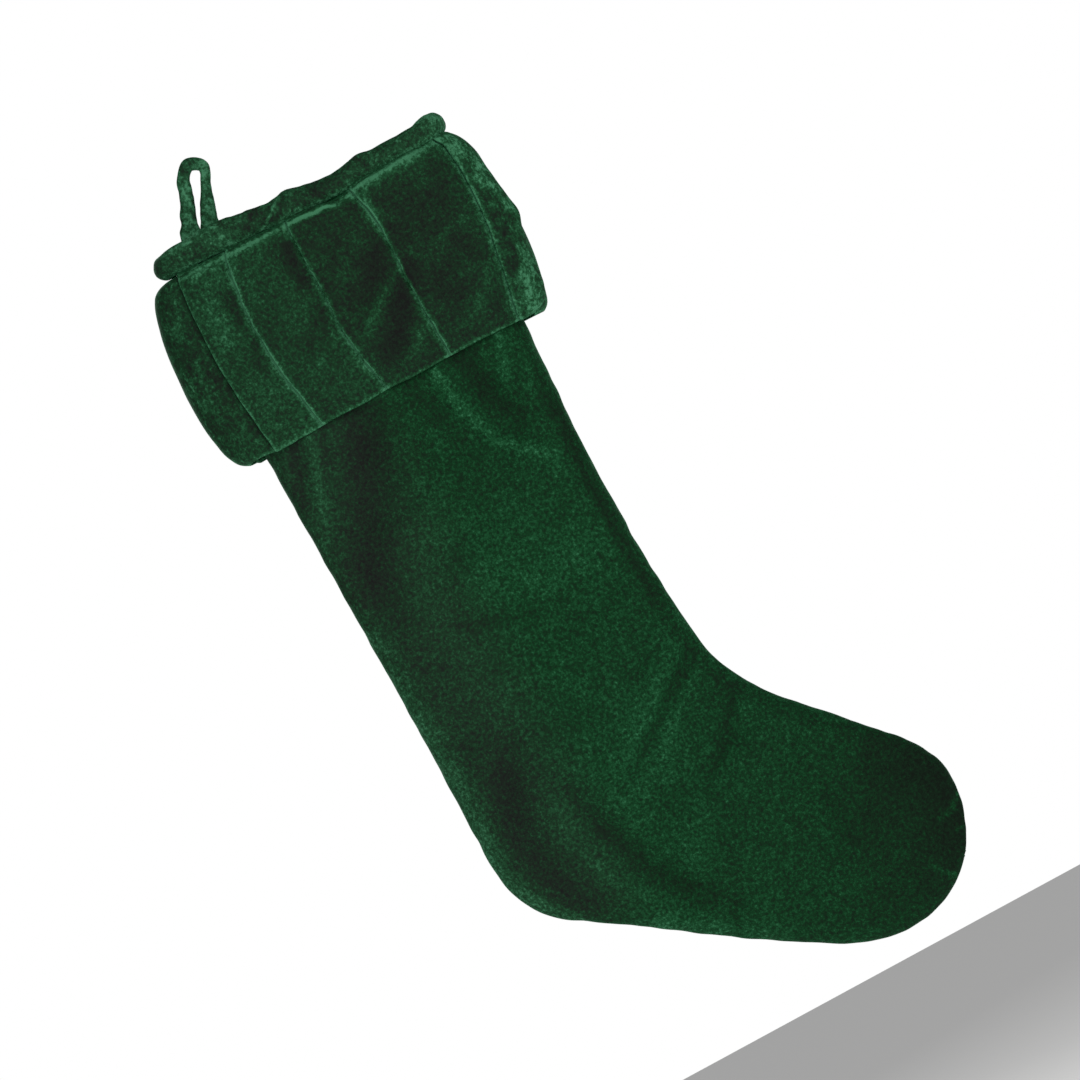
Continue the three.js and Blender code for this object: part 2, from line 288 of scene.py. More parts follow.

# Each fold: its route in x and z, its half width, how far it rises and how light it is painted, as painted
# shade along a hollow and painted highlight along a ridge.
FRONT_FOLDS = (
    (((0.086, -0.122), (0.072, -0.150), (0.055, -0.180), (0.042, -0.205), (0.028, -0.250)),
     0.0130, -0.0032, -1.1),
    (((0.074, -0.120), (0.070, -0.140), (0.062, -0.160)), 0.0060, -0.0012, -0.6),
    (((0.040, -0.120), (0.036, -0.136), (0.029, -0.152), (0.025, -0.170)), 0.0034, -0.0016, -1.1),
    (((0.050, -0.120), (0.044, -0.142), (0.038, -0.158), (0.029, -0.186)), 0.0020, 0.0016, 1.1),
    (((0.058, -0.120), (0.053, -0.134), (0.047, -0.150)), 0.0020, -0.0009, -0.6),
    (((0.040, -0.190), (0.042, -0.250), (0.046, -0.310), (0.050, -0.370)), 0.0130, -0.0008, -0.40),
    (((0.072, -0.442), (0.052, -0.405), (0.044, -0.375), (0.047, -0.348), (0.059, -0.325), (0.076, -0.298)),
     0.0100, -0.0028, -1.15),
    (((0.126, -0.450), (0.096, -0.414), (0.084, -0.380), (0.076, -0.335)), 0.0055, -0.0018, -0.9),
    (((0.094, -0.436), (0.076, -0.408), (0.067, -0.378), (0.066, -0.345)), 0.0035, 0.0012, 0.5),
    (((0.121, -0.124), (0.124, -0.150), (0.133, -0.176), (0.147, -0.191), (0.170, -0.202)),
     0.0038, 0.0026, 1.0),
    (((0.163, -0.122), (0.157, -0.142), (0.147, -0.162)), 0.0028, 0.0016, 1.0),
    (((0.170, -0.135), (0.166, -0.155), (0.156, -0.172)), 0.0018, 0.0008, 0.6),
    (((0.138, -0.122), (0.141, -0.150), (0.150, -0.182)), 0.0065, -0.0020, -1.0),
    (((0.108, -0.122), (0.110, -0.140), (0.116, -0.165)), 0.0060, -0.0008, -0.6),
    (((0.090, -0.385), (0.130, -0.347), (0.160, -0.318), (0.178, -0.280)), 0.0100, 0.0022, 0.5),
    (((0.176, -0.318), (0.150, -0.338), (0.112, -0.366), (0.090, -0.380)), 0.0032, -0.0014, -0.9),
    (((0.172, -0.330), (0.145, -0.352), (0.120, -0.372)), 0.0022, 0.0012, 0.7),
    (((0.184, -0.346), (0.165, -0.372), (0.140, -0.392)), 0.0036, -0.0014, -0.8),
    (((0.173, -0.308), (0.150, -0.314), (0.128, -0.330)), 0.0022, -0.0009, -0.6),
    (((0.110, -0.432), (0.128, -0.404), (0.150, -0.388)), 0.0080, 0.0014, 0.5),
    (((0.169, -0.165), (0.1655, -0.230), (0.1665, -0.300), (0.172, -0.340)), 0.0030, -0.0010, -0.8),
    (((0.085, -0.228), (0.120, -0.252), (0.150, -0.247), (0.170, -0.250)), 0.0180, 0.0008, 0.30),
    (((0.060, -0.252), (0.110, -0.266), (0.168, -0.260)), 0.0028, -0.0008, -0.5),
    (((0.222, -0.408), (0.249, -0.440), (0.250, -0.468), (0.228, -0.498)), 0.0110, -0.0008, -0.7),
    (((0.260, -0.455), (0.252, -0.462), (0.240, -0.464)), 0.0018, -0.0012, 2.2),
    (((0.257, -0.474), (0.246, -0.472)), 0.0012, -0.0008, 1.8),
    (((0.238, -0.494), (0.231, -0.488), (0.226, -0.478)), 0.0014, -0.0010, 1.4),
    (((0.120, -0.470), (0.124, -0.458), (0.132, -0.444)), 0.0030, -0.0010, -0.5),
    (((0.028, -0.300), (0.036, -0.306), (0.048, -0.318)), 0.0022, -0.0008, -0.5),
)
# The back's folds, listed the same way, with painted shade along hollows and painted highlight along ridges.
BACK_FOLDS = (
    (((0.160, -0.120), (0.130, -0.160), (0.090, -0.200)), 0.0110, -0.0030, -1.0),
    (((0.070, -0.120), (0.066, -0.170), (0.050, -0.220)), 0.0040, 0.0022, 0.9),
    (((0.190, -0.368), (0.150, -0.378), (0.080, -0.350), (0.050, -0.285)), 0.0110, -0.0026, -0.9),
    (((0.178, -0.322), (0.140, -0.350), (0.100, -0.400)), 0.0045, -0.0016, -0.8),
    (((0.110, -0.210), (0.090, -0.250), (0.050, -0.280)), 0.0120, 0.0020, 0.5),
)


def bezier(points, t):
    a, b, c, d = np.array(points, float)
    s = 1 - t
    return a * s**3 + 3 * b * s * s * t + 3 * c * s * t * t + d * t**3


def oval(half_width, half_depth, power, angle):
    c, s = np.cos(angle), np.sin(angle)
    return (
        half_width * np.sign(c) * np.abs(c) ** (2 / power),
        half_depth * np.sign(s) * np.abs(s) ** (2 / power),
    )


def even_angles(half_width, half_depth, power, count):
    """Angles whose points are evenly spaced round the oval, from the heel side and by the front."""
    fine = np.linspace(-np.pi, np.pi, 1441)
    x, y = oval(half_width, half_depth, power, fine)
    lengths = np.concatenate(([0.0], np.cumsum(np.hypot(np.diff(x), np.diff(y)))))
    return np.interp(np.linspace(0, lengths[-1], count, endpoint=False), lengths, fine)


def sock_rows(counts, cols, inset_width, inset_depth, last=0.985):
    rows = []
    for part, count in enumerate(counts):
        is_toe = part == len(counts) - 1
        steps = np.arange(count) / count
        if is_toe:
            steps = last * (1 - (1 - np.linspace(0, 1, count)) ** 1.5)
        for t in steps:
            heel, toe = bezier(HEEL_SIDE[part], t), bezier(TOE_SIDE[part], t)
            centre, half = (heel + toe) / 2, np.linalg.norm(toe - heel) / 2
            across = (toe - heel) / (2 * half)
            share = 1 - math.sqrt(1 - t * t) if is_toe else t
            depth = HALF_DEPTHS[part] * (1 - share) + HALF_DEPTHS[part + 1] * share
            power = POWERS[part] * (1 - t) + POWERS[part + 1] * t
            half = max(half - inset_width, 0.0015)
            depth = max(depth - inset_depth, 0.001)
            x, y = oval(half, depth, power, even_angles(half, depth, power, cols))
            rows.append(np.stack((centre[0] + across[0] * x, y, centre[1] + across[1] * x), axis=1))
    return np.array(rows)


LEG_SIDES = 72
LEG_ROWS = (76, 14, 24, 24)  # for the leg, the heel, the instep and the toe
LEG_THICK = 0.0014
LINING_SIDES = 44
LINING_ROWS = (30, 10, 8, 8)
LINING_THICK = 0.0006


def fold_leg(piece):
    """Creases the leg and paints light and shade into its colour over a random pile tone: the front and the
    back each have their own folds.
    """
    mesh = piece.data
    places = coordinates(mesh) - ROW
    x, y, z = places.T
    heel_gap, toe_gap = read_values(mesh, "heel_gap"), read_values(mesh, "toe_gap")
    front_rise, front_light = add_folds(places, FRONT_FOLDS)
    back_rise, back_light = add_folds(places, BACK_FOLDS)
    rise = np.where(y < 0, front_rise, back_rise) + 0.0004 * noise(places, 0.009)
    rise *= smooth(np.minimum(heel_gap, toe_gap) / 0.012)
    light = np.where(y < 0, front_light, back_light) * smooth(np.abs(y) / 0.006)
    # Painted highlight along the heel side's edge, stronger down the leg and weaker towards the toe side.
    rim = (0.3 + 1.0 * smooth((-z - 0.20) / 0.05)) * (1 - 0.8 * smooth((x - 0.10) / 0.07))
    light += rim * (1 + 0.5 * noise(places, 0.013)) * np.exp(-((heel_gap / 0.0120) ** 2))
    # Painted highlight along the toe side's edge, and painted shade a little inside it.
    light += 0.6 * np.exp(-((toe_gap / 0.002) ** 2))
    light -= 0.4 * np.exp(-(((toe_gap - 0.007) / 0.003) ** 2))
    # Painted light over the middle of the leg and painted shade over the toe.
    broad = np.exp(-(((x - 0.120) / 0.045) ** 2)) * smooth((-z - 0.17) / 0.06) * smooth((0.43 + z) / 0.06)
    light += 0.15 * broad - 1.2 * smooth((x - 0.155) / 0.095) * smooth((-z - 0.375) / 0.08)
    light += 0.22 * noise(places, 0.016) + 0.15 * noise(places, 0.006) - 0.10
    places[:, 1] += np.sign(y) * rise
    mesh.vertices.foreach_set("co", (places + ROW).ravel())
    write_values(mesh, "tone_and_shade", light)
    # Painted sheen: a grey haze over the heel side of the leg.
    write_values(mesh, "sheen_haze", smooth((0.105 - x) / 0.045) * smooth((z + 0.46) / 0.06))
    for name in ("heel_gap", "toe_gap"):
        mesh.attributes.remove(mesh.attributes[name])


def make_leg(velvet):
    points = sock_rows(LEG_ROWS, LEG_SIDES, 0.0, 0.0)
    x, y, z = np.moveaxis(points, -1, 0)
    half_ring = LEG_SIDES // 2
    side = np.arange(LEG_SIDES)
    from_seam = np.minimum.reduce((side, np.abs(side - half_ring), LEG_SIDES - side))
    heel_gap = np.hypot(x - x[:, :1], z - z[:, :1])
    toe_gap = np.hypot(x - x[:, half_ring, None], z - z[:, half_ring, None])
    points[..., 1] *= 1 + 0.05 * np.exp(-(((z + 0.120) / 0.030) ** 2))
    points[..., 1] += np.sign(y) * smooth(from_seam / 5.0) * 0.0016 * noise(points, 0.05)
    seam_pucker = (1 - smooth(from_seam / 2.5))[None, :] * noise(points, 0.007)
    out = points - points.mean(axis=1, keepdims=True)
    out /= np.linalg.norm(out, axis=2, keepdims=True)
    points += out * (0.0006 * seam_pucker)[..., None]
    piece = grid_object("stocking_shell", points, True, {"heel_gap": heel_gap, "toe_gap": toe_gap})
    held = np.clip(1 - from_seam / 2.5, 0, 1)[None, :] * np.ones_like(x)
    held = np.maximum(held, smooth((z + 0.045) / 0.02))
    settle(piece, held, pressure=0.6, growth=0.02, cap=0.004, bending=1.5)
    zip_end(piece, LEG_SIDES)
    subdivide(piece)
    fold_leg(piece)
    thicken(piece, LEG_THICK)
    finish_piece(piece, velvet, "velvet", ("shell_front", "shell_back", "side_seam"), *BACK_TO_FRONT)
    return piece


def zip_end(piece, cols):
    """Closes the last row of a ring from side to side, as a seam does."""
    mesh = piece.data
    builder = bmesh.new()
    builder.from_mesh(mesh)
    builder.verts.ensure_lookup_table()
    first = len(builder.verts) - cols
    row = [builder.verts[first + c] for c in range(cols)]
    half = cols // 2
    builder.faces.new((row[cols - 1], row[1], row[0]))
    for c in range(1, half - 1):
        builder.faces.new((row[cols - c], row[cols - c - 1], row[c + 1], row[c]))
    builder.faces.new((row[half + 1], row[half], row[half - 1]))
    bmesh.ops.recalc_face_normals(builder, faces=builder.faces)
    builder.to_mesh(mesh)
    builder.free()
    for polygon in mesh.polygons:
        polygon.use_smooth = True


# ------------------------------------------------------------------ cuff

# The cuff's outside at several heights: z, heel side, toe side, and the half depth inside the pleats.
CUFF_ROWS = (
    (-0.0205, 0.0205, 0.1865, 0.0145),
    (-0.0215, 0.0165, 0.1885, 0.0178),
    (-0.0240, 0.0118, 0.1912, 0.0200),
    (-0.0280, 0.0090, 0.1940, 0.0211),
    (-0.0350, 0.0062, 0.1968, 0.0216),
    (-0.0500, 0.0030, 0.1990, 0.0219),
    (-0.0800, 0.0003, 0.2010, 0.0221),
    (-0.1060, 0.0018, 0.1985, 0.0208),
    (-0.1200, 0.0055, 0.1950, 0.0192),
    (-0.1245, 0.0085, 0.1930, 0.0185),
    (-0.1270, 0.0135, 0.1895, 0.0182),
)
CUFF_LIFT_SPAN = (np.array((0.198, -0.008, 0)), np.array((0.182, -0.018, 0)))  # two points on the toe side of the cuff
CUFF_POWER = 3.0
CUFF_OUT = 0.0032  # how far the cuff's outer face stands out from the inner form at the sides
CUFF_THICK = 0.0012
SEWN_HEIGHT = -0.0235  # the strips are sewn down above this
RIM_HEIGHT = -0.0232  # the middle of the upper rim's painted highlight
TOP_LINE_HEIGHT = -0.0238
HEM_HEIGHT = -0.1265
HEM_LIGHT = 0.45
FOLDS = (  # z and x of each outer fold of the front at a few heights
    ((-0.022, 0.0270), (-0.060, 0.0245), (-0.095, 0.0255), (-0.127, 0.0295)),
    ((-0.022, 0.0548), (-0.060, 0.0500), (-0.090, 0.0518), (-0.127, 0.0575)),
    ((-0.022, 0.0902), (-0.060, 0.0903), (-0.100, 0.0912), (-0.127, 0.0968)),
    ((-0.022, 0.1285), (-0.035, 0.1318), (-0.080, 0.1326), (-0.127, 0.1336)),
    ((-0.022, 0.1815), (-0.050, 0.1842), (-0.090, 0.1805), (-0.127, 0.1735)),
)
UNDERLAP = 0.013
RETURN_H = 0.0014  # heights of a pleat's middle and outer layers over the inner form
OUTER_H = 0.0034
LAP_STEPS = 1440


class CuffForm:
    """The cuff's inner form at one height, unrolled: s runs from the heel side by the front, for two laps."""

    def __init__(self, z):
        heights, *edges = zip(*CUFF_ROWS)
        heel, toe, depth = (float(curve_through(list(zip(heights, edge)))(z)) for edge in edges)
        half = (toe - heel) / 2 - CUFF_OUT
        angle = np.linspace(-np.pi, 3 * np.pi, 2 * LAP_STEPS + 1)
        x, y = oval(half, depth, CUFF_POWER, angle)
        nx = np.sign(x) * np.abs(x / half) ** (CUFF_POWER - 1) / half
        ny = np.sign(y) * np.abs(y / depth) ** (CUFF_POWER - 1) / depth
        size = np.hypot(nx, ny)
        self.z = z
        self.x, self.y = x + (heel + toe) / 2, y
        self.nx, self.ny = nx / size, ny / size
        self.s = np.concatenate(([0.0], np.cumsum(np.hypot(np.diff(x), np.diff(y)))))
        self.lap = self.s[LAP_STEPS]
        self.front = self.s[LAP_STEPS // 2]

    def s_of(self, x):
        """The place along the front where it is at x."""
        in_front = slice(LAP_STEPS // 2 + 1)
        return float(np.interp(x, self.x[in_front], self.s[in_front]))

    def point(self, s, h):
        x = np.interp(s, self.s, self.x) + h * np.interp(s, self.s, self.nx)
        y = np.interp(s, self.s, self.y) + h * np.interp(s, self.s, self.ny)
        return np.stack((x, y, np.full(np.shape(s), self.z)), axis=-1)


def run_of(s0, s1, h0, h1, count, level=0.4, free=0.0):
    """A stretch of the strip, as (s, h, free) rows. It is level over a share of its width, then slopes."""
    t = np.linspace(0, 1, count)
    height = h0 + (h1 - h0) * smooth((t - level) / max(1 - level, 1e-6))
    return np.stack((s0 + (s1 - s0) * t, height, np.full(count, free)), axis=1)


def bend(s, h, radius, first, last, count, free=0.0):
    angle = np.radians(np.linspace(first, last, count))
    return np.stack((s + radius * np.cos(angle), h + radius * np.sin(angle), np.full(count, free)), axis=1)


NOSE = (OUTER_H - RETURN_H) / 2
TUCK = RETURN_H / 2


def fold_nose(s):
    """From the middle layer round the outer fold to the outer layer."""
    return bend(s + NOSE, RETURN_H + NOSE, NOSE, 270, 90, 7, 0.25)


def tuck_turn(s):
    """From the inner layer round the hidden fold to the middle layer."""
    return bend(s - TUCK, TUCK, TUCK, -90, 90, 4)


def pleats(folds, end, end_h):
    """The run of a pleated strip: its first outer fold, then each panel, each one tucked under the next."""
    parts = [
        run_of(folds[0] + UNDERLAP, folds[0] + NOSE + 0.001, RETURN_H, RETURN_H, 6),
        fold_nose(folds[0]),
    ]
    for here, following in zip(folds[:-1], folds[1:]):
        parts.append(run_of(here + NOSE + 0.001, following - 0.002, OUTER_H, 0.0003, 17, 0.60, 1.0))
        parts.append(run_of(following, following + UNDERLAP - TUCK, 0.0, 0.0, 5))
        parts.append(tuck_turn(following + UNDERLAP))
        returning = (following + UNDERLAP - 0.002, following + NOSE + 0.001)
        parts.append(run_of(*returning, RETURN_H, RETURN_H, 5))
        parts.append(fold_nose(following))
    parts.append(run_of(folds[-1] + NOSE + 0.001, end, OUTER_H, end_h, 14, 0.2, 1.0))
    return np.concatenate(parts)


CUFF_HEIGHTS = np.concatenate((
    (-0.0205, -0.0210, -0.0217, -0.0225, -0.0233, -0.0241, -0.0252, -0.0268, -0.0290),
    np.linspace(-0.0315, -0.1225, 34),
    (-0.1248, -0.1263, -0.1270),
))

# Each fold and dent of the cuff's front: its route in x and z, its half width, its rise and its lightness,
# which paints shade into the hollows and highlights onto the ridges and the upper rims.
CUFF_FOLDS = (
    (((0.140, -0.048), (0.130, -0.058), (0.112, -0.074), (0.094, -0.080)), 0.0070, -0.0016, -1.3),
    (((0.142, -0.070), (0.128, -0.086), (0.110, -0.106), (0.096, -0.114)), 0.0075, -0.0018, -1.9),
    (((0.136, -0.070), (0.120, -0.082), (0.104, -0.093), (0.094, -0.097)), 0.0032, 0.0014, 1.2),
    (((0.134, -0.104), (0.120, -0.114), (0.100, -0.124)), 0.0032, 0.0010, 0.8),
    (((0.127, -0.032), (0.118, -0.040), (0.102, -0.050)), 0.0050, -0.0008, -0.5),
    (((0.087, -0.032), (0.084, -0.047), (0.087, -0.064)), 0.0042, -0.0012, -1.9),
    (((0.090, -0.072), (0.078, -0.084), (0.062, -0.088)), 0.0050, -0.0010, -1.0),
    (((0.048, -0.040), (0.045, -0.050), (0.048, -0.062)), 0.0030, -0.0010, -1.3),
    (((0.049, -0.068), (0.043, -0.080), (0.045, -0.092)), 0.0028, -0.0010, -1.2),
    (((0.036, -0.040), (0.034, -0.060), (0.037, -0.080)), 0.0040, 0.0006, 0.4),
    (((0.136, -0.056), (0.158, -0.049), (0.182, -0.056)), 0.0085, -0.0010, -0.7),
    (((0.138, -0.096), (0.158, -0.082), (0.182, -0.076)), 0.0070, -0.0012, -0.8),
    (((0.148, -0.120), (0.164, -0.106), (0.182, -0.086)), 0.0034, 0.0012, 0.8),
    (((0.178, -0.066), (0.164, -0.068), (0.150, -0.074)), 0.0025, 0.0008, 0.5),
    (((0.136, -0.112), (0.150, -0.100), (0.168, -0.094)), 0.0050, -0.0008, -0.5),
    (((0.093, -0.0258), (0.100, -0.0262), (0.108, -0.0275), (0.112, -0.0262), (0.117, -0.0285),
      (0.1235, -0.0325)), 0.0012, 0.0018, 3.2),
    (((0.114, -0.0245), (0.121, -0.0252), (0.127, -0.0285), (0.130, -0.0350)), 0.0010, 0.0012, 1.2),
    (((0.1335, -0.060), (0.1330, -0.036), (0.137, -0.0272), (0.150, -0.0258), (0.168, -0.0255),
      (0.190, -0.0270)), 0.0034, 0.0014, 1.5),
    (((0.030, -0.034), (0.034, -0.0265), (0.044, -0.0262), (0.054, -0.0275)), 0.0018, 0.0010, 0.9),
    (((0.0545, -0.036), (0.058, -0.0265), (0.068, -0.0260), (0.090, -0.0258)), 0.0016, 0.0010, 1.1),
    (((0.186, -0.030), (0.185, -0.060), (0.183, -0.090)), 0.0012, 0.0006, 0.9),
    (((0.186, -0.026), (0.192, -0.038), (0.196, -0.056), (0.197, -0.070)), 0.0045, 0.0008, 1.6),
    (((0.182, -0.127), (0.188, -0.114), (0.194, -0.100), (0.197, -0.088)), 0.0042, 0.0008, 1.7),
    (((0.1985, -0.066), (0.2000, -0.080), (0.1995, -0.090)), 0.0020, 0.0004, 1.5),
    (((0.187, -0.104), (0.189, -0.080), (0.188, -0.056)), 0.0030, -0.0006, -1.2),
)


def shade_cuff(piece, folds):
    mesh = piece.data
    places = coordinates(mesh) - ROW
    # Painted shade and highlights of the cuff's folds, with random pile tone.
    light = read_values(mesh, "tone_and_shade") + add_folds(places, folds)[1]
    light += 0.42 * noise(places, 0.012) + 0.34 * noise(places, 0.005)
    write_values(mesh, "tone_and_shade", light)
    # Painted sheen: a grey haze over the whole cuff.
    write_values(mesh, "sheen_haze", np.full(len(places), 0.7))


MOST_INWARDS = 0.0004


def hold_off(start, moved):
    """A limit for settle: cloth sinks only a little towards what lies under it, in front and behind."""
    moved = moved.copy()
    behind = start[:, 1] > ROW[1]
    sunk = np.where(behind, np.maximum(moved[:, 1], -MOST_INWARDS), np.minimum(moved[:, 1], MOST_INWARDS))
    moved[:, 1] = sunk
    return moved


# For each panel or fold of the front from the heel side: how light the panel is painted, as painted light and
# shade, its painted highlight on the upper rim, the painted highlight line along its outer fold and that
# line's stretch over the top, and how far the fold's upper corner moves.
PANEL_LIGHT = (0.30, -0.05, -0.62, -0.50, 0.20)
RIM_LIGHT = (0.9, 0.9, 1.2, 1.6, 1.2)
LINE_LIGHT = (0.55, 1.05, 0.78, 0.88, 0.36)
TOP_LIGHT = (0.30, 0.55, 0.50, 0.35, 0.30)
CORNER_ROUNDING = (0.0015, 0.0010, 0.0008, -0.0005, -0.0025)


# Painted highlight along the upper rim of the cuff.
def rim_light(z):
    return np.exp(-(((z - RIM_HEIGHT) / 0.0020) ** 2))


def lower_middle(points):
    """The band hangs lower over the middle of the cuff, and the cuff's upper edge with it."""
    x, z = points[..., 0], points[..., 2]
    drop = 0.0022 * np.exp(-(((x - 0.105) / 0.055) ** 2))
    drop += 0.0026 * np.exp(-(((x - 0.120) / 0.010) ** 2))
    points[..., 2] -= drop * smooth((z + 0.060) / 0.036)


def fold_at(k, z):
    """The x of a front fold. Its upper corner is rounded, and it wanders a little."""
    corner = CORNER_ROUNDING[k] * smooth((z + 0.0275) / 0.0065)
    return float(curve_through(FOLDS[k])(z)) + corner + 0.0006 * float(noise((0.0, k, z), 0.007))


def fold_light(run, folds, strengths, z):
    """The painted highlight along each outer fold, which comes and goes, and painted light on the layer
    beside it, which lifts the shadow in the crevice under the fold.
    """
    s, h = run[:, 0], run[:, 1]
    line = np.zeros(len(run))
    for k, (fold, strength) in enumerate(zip(folds, strengths)):
        slow, quick = float(noise((0.5, k, z), 0.006)), float(noise((0.2, k, z), 0.0025))
        strength = strength * (1 + 0.35 * slow + 0.25 * quick)
        outer = h > RETURN_H + 0.0002
        line += strength * np.exp(-(((s - fold - 0.0001) / 0.0009) ** 2)) * outer
        line += (0.30 + 0.95 * strength) * np.exp(-(((s - fold + 0.0004) / 0.0013) ** 2)) * ~outer
    return line


def top_light(run, folds, z):
    """The painted highlight line goes round each panel's upper corner and fades along its top."""
    at = np.clip(np.searchsorted(folds, run[:, 0] + 1e-6) - 1, 0, len(folds) - 1)
    ends = np.append(folds[1:], folds[-1] + 0.020)
    along = (run[:, 0] - np.array(folds)[at]) / (ends - folds)[at]
    fade = 1 - 0.75 * np.clip(along, 0, 1)
    return np.array(TOP_LIGHT)[at] * fade * np.exp(-(((z - TOP_LINE_HEIGHT) / 0.0010) ** 2))


# Painted highlight along the hem.
def hem_light(z):
    return HEM_LIGHT * np.exp(-(((z - HEM_HEIGHT) / 0.0011) ** 2))


def sewn_down(z):
    return smooth((z - SEWN_HEIGHT) / 0.003)


def finish_cuff(points, light, edge, crush, held, side, folds):
    """What both halves of the cuff share, from their points to their pile."""
    values = {"tone_and_shade": np.array(light), "edge": np.array(edge), "crush": np.array(crush)}
    piece = grid_object(f"cuff_{side}_pleats", points, False, values)
    settle(piece, held, pressure=0.5, growth=0.045, cap=0.003, bending=0.5, limit=hold_off)
    thicken(piece, CUFF_THICK, 1.0)
    subdivide(piece)
    shade_cuff(piece, folds)
    return piece


def make_cuff_front(velvet):
    rows, light, edge, crush, held, heights = [], [], [], [], [], []
    for z in CUFF_HEIGHTS:
        form = CuffForm(z)
        folds = [form.s_of(fold_at(k, z)) for k in range(len(FOLDS))]
        run = pleats(folds, form.front - 0.006, 0.0036)
        free = run[:, 2]
        wrap = smooth((run[:, 0] - folds[-1]) / 0.004) * (free > 0)
        rows.append(form.point(run[:, 0], run[:, 1]))
        heights.append(run[:, 1])
        # Painted highlights along the outer folds, the panels' tops and the hem, with painted light lifting
        # the shadow beside each fold.
        edge.append(fold_light(run, folds, LINE_LIGHT, z) + top_light(run, folds, z) + hem_light(z))
        at = np.clip(np.searchsorted(folds, run[:, 0] + 1e-6) - 1, 0, len(FOLDS) - 1)
        # Each panel's painted light and shade, and the painted highlight along its upper rim.
        light.append(np.array(PANEL_LIGHT)[at] + np.array(RIM_LIGHT)[at] * rim_light(z))
        crush.append(0.15 + 0.85 * wrap)
        held.append(np.maximum(1 - free * 0.98, sewn_down(z)))
    points = np.array(rows)
    held = np.array(held)
    free = 1 - held
    x, z = points[..., 0], points[..., 2]
    rise = add_folds(points, CUFF_FOLDS)[0] + 0.0010 * noise(points, 0.017) + 0.0006 * noise(points, 0.007)
    points[..., 1] -= np.maximum(rise, -0.7 * np.array(heights)) * free
    lower_middle(points)
    bumps = smooth((x - 0.184) / 0.012) * smooth((-z - 0.035) / 0.02)
    points[..., 0] += bumps * 0.0022 * noise(points, 0.010, 0.3)
    points[..., 2] += 0.0008 * noise(points, 0.016, 0.6) * smooth((-z - 0.100) / 0.027)
    piece = finish_cuff(points, light, edge, crush, held, "front", CUFF_FOLDS)
    bodies = ("front", "front_cuff")
    finish_piece(piece, velvet, "velvet", ("cuff_pleats_front",), bodies, *CUFF_LIFT_SPAN)
    return piece


BACK_FOLD_SHARES = (0.13, 0.33, 0.53, 0.72, 0.88)  # of the way from the toe side to the heel side


def make_cuff_back(velvet):
    rows, light, edge, crush, held = [], [], [], [], []
    for z in CUFF_HEIGHTS:
        form = CuffForm(z)
        first = form.s_of(float(curve_through(FOLDS[0])(z)))
        back = form.front + (form.lap - form.front) * np.array(BACK_FOLD_SHARES)
        lead = run_of(form.front - 0.012, back[0] + UNDERLAP - TUCK, 0.0018, 0.0, 14, 0.5)
        tail = run_of(form.lap + 0.004, form.lap + first + UNDERLAP, 0.0030, -0.0005, 20, 0.1, 0.8)
        strip = pleats(back, form.lap + 0.002, 0.0030)
        run = np.concatenate((lead, tuck_turn(back[0] + UNDERLAP), strip, tail))
        rows.append(form.point(run[:, 0], run[:, 1]))
        # Painted highlights along the back's outer folds and its hem, with painted light lifting the shadow
        # beside each fold.
        edge.append(fold_light(run, back, (0.9,) * len(back), z) + hem_light(z))
        # Painted light and shade round the back: lighter towards the toe side, darker on the wrap round the
        # heel side.
        light_at = (form.front, form.lap, form.lap + 0.6 * first, form.lap + first)
        light.append(np.interp(run[:, 0], light_at, (0.4, 0.3, -0.1, -0.2)))
        crush_at = (form.front, form.front + 0.03, form.lap - 0.02, form.lap)
        crush.append(np.interp(run[:, 0], crush_at, (1.0, 0.3, 0.3, 0.65)))
        tucked = smooth((run[:, 0] - form.lap - first + 0.002) / 0.003)
        held.append(np.maximum.reduce((1 - run[:, 2] * 0.98, np.full(len(run), sewn_down(z)), tucked)))
    points = np.array(rows)
    held = np.array(held)
    x, z = points[..., 0], points[..., 2]
    lower_middle(points)
    is_wrap = smooth((0.030 - x) / 0.012) * smooth((-z - 0.03) / 0.02) * (1 - held)
    points[..., 0] -= is_wrap * 0.0008 * noise(points, 0.011)
    points[..., 2] += 0.0008 * noise(points, 0.016, 0.6) * smooth((-z - 0.100) / 0.027)
    points[..., 2] -= 0.0020 * smooth((x - 0.168) / 0.008) * smooth((-z - 0.110) / 0.017)
    piece = finish_cuff(points, light, edge, crush, held, "back", ())
    finish_piece(piece, velvet, "velvet", ("cuff_pleats_back",), *BACK_TO_FRONT)
    return piece


CUFF_LINING_IN = 0.0016  # how far the cuff's lining lies inside its inner form
LINING_HEIGHTS = np.linspace(-0.031, -0.1255, 22)


def make_cuff_lining(satin, half):
    rows = []
    for z in LINING_HEIGHTS:
        form = CuffForm(z)
        start = 0.0 if half == "front" else form.front
        along = np.linspace(start + 0.003, start + form.front - 0.003, 60)
        rows.append(form.point(along, -CUFF_LINING_IN))
    piece = grid_object(f"cuff_lining_{half}_cloth", np.array(rows), False)
    thicken(piece, LINING_THICK)
    subdivide(piece)
    if half == "front":
        bodies = (("front", "front_cuff"), *CUFF_LIFT_SPAN)
    else:
        bodies = BACK_TO_FRONT
    finish_piece(piece, satin, "lining", (f"cuff_lining_{half}",), *bodies)
    return piece


# ------------------------------------------------------------------ band

